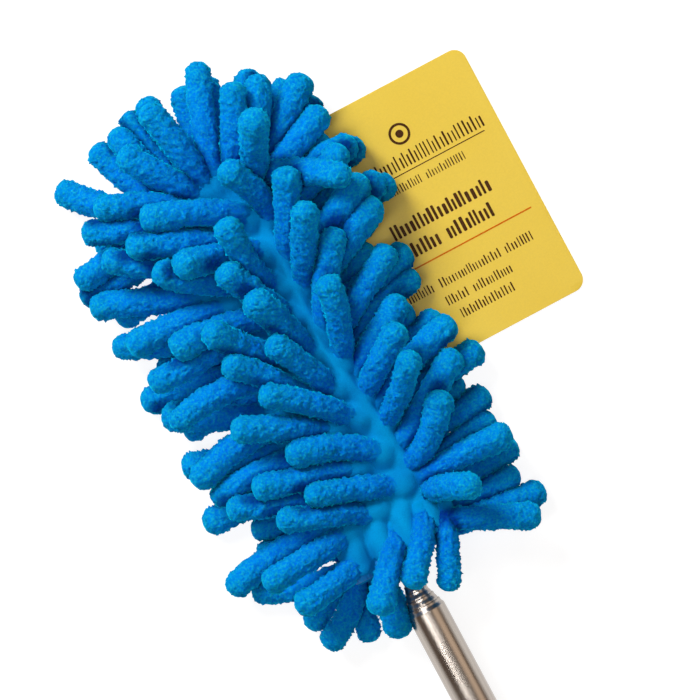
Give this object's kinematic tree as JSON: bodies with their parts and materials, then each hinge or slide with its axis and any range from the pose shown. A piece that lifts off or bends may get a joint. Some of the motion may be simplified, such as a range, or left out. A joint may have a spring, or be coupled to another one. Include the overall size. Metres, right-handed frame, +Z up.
{
  "type": "telescopic chenille duster",
  "caption": "Hand duster with a flat chenille-noodle head in a pull-off cover, on a closed telescopic steel pole with a ribbed grip and a card tag.",
  "frame": {"origin": "centre of the flat butt face at the end of the handle, on the pole's axis", "axes": "+Y along the pole from the butt to the head's tip, +Z up from the surface the duster lies on, +X to the side of the tag"},
  "size_m": [0.1729, 0.4663, 0.0468],
  "materials": {
    "handle_plastic": "satin",
    "grip_rubber": "matte",
    "stainless": "polished",
    "bush_nylon": "satin",
    "core_plastic": "satin",
    "cover_cloth": "matte",
    "chenille": "matte",
    "tag_card": "satin",
    "pin_nylon": "gloss"
  },
  "bodies": {
    "handle": {"handle_body": "handle_plastic", "grip_sleeve": "grip_rubber", "outer_tube": "stainless", "tube_plug": "handle_plastic"},
    "section_2": {"section_2": "stainless", "friction_bush_2": "bush_nylon"},
    "section_3": {"section_3": "stainless", "friction_bush_3": "bush_nylon"},
    "section_4": {"section_4": "stainless", "friction_bush_4": "bush_nylon"},
    "top_bush": {"friction_bush_5": "bush_nylon"},
    "head": {"section_5": "stainless", "head_core": "core_plastic", "socket_pin": "stainless"},
    "cover": {"cover_sleeve": "cover_cloth", "hem_elastic": "cover_cloth", "noodles_top_crest": "chenille", "noodles_top_inner": "chenille", "noodles_top_outer": "chenille", "noodles_left_edge": "chenille", "noodles_right_upper": "chenille", "noodles_right_lower": "chenille", "noodles_under_left": "chenille", "noodles_under_right": "chenille", "noodles_tip": "chenille", "noodles_base": "chenille", "tag_pin": "pin_nylon"},
    "tag": {"tag_card": "tag_card"}
  },
  "joints": [
    {"name": "slide_2", "type": "slide", "parent": "handle", "child": "section_2", "axis": [0, 1, 0], "range_m": [0, 0.115]},
    {"name": "slide_3", "type": "slide", "parent": "section_2", "child": "section_3", "axis": [0, 1, 0], "range_m": [0, 0.115]},
    {"name": "slide_4", "type": "slide", "parent": "section_3", "child": "section_4", "axis": [0, 1, 0], "range_m": [0, 0.115]},
    {"name": "slide_5", "type": "slide", "parent": "section_4", "child": "top_bush", "axis": [0, 1, 0], "range_m": [0, 0.115]},
    {"name": "head_turn", "type": "hinge", "parent": "top_bush", "child": "head", "pos_m": [0, 0.29, 0], "axis": [0, 1, 0], "continuous": true},
    {"name": "cover_pull", "type": "slide", "parent": "head", "child": "cover", "axis": [0, 1, 0], "range_m": [0, 0.17]},
    {"name": "tag_swing", "type": "hinge", "parent": "cover", "child": "tag", "pos_m": [0.0485, 0.4225, -0.0127], "axis": [0, 0, 1], "range_deg": [-3, 40]}
  ]
}
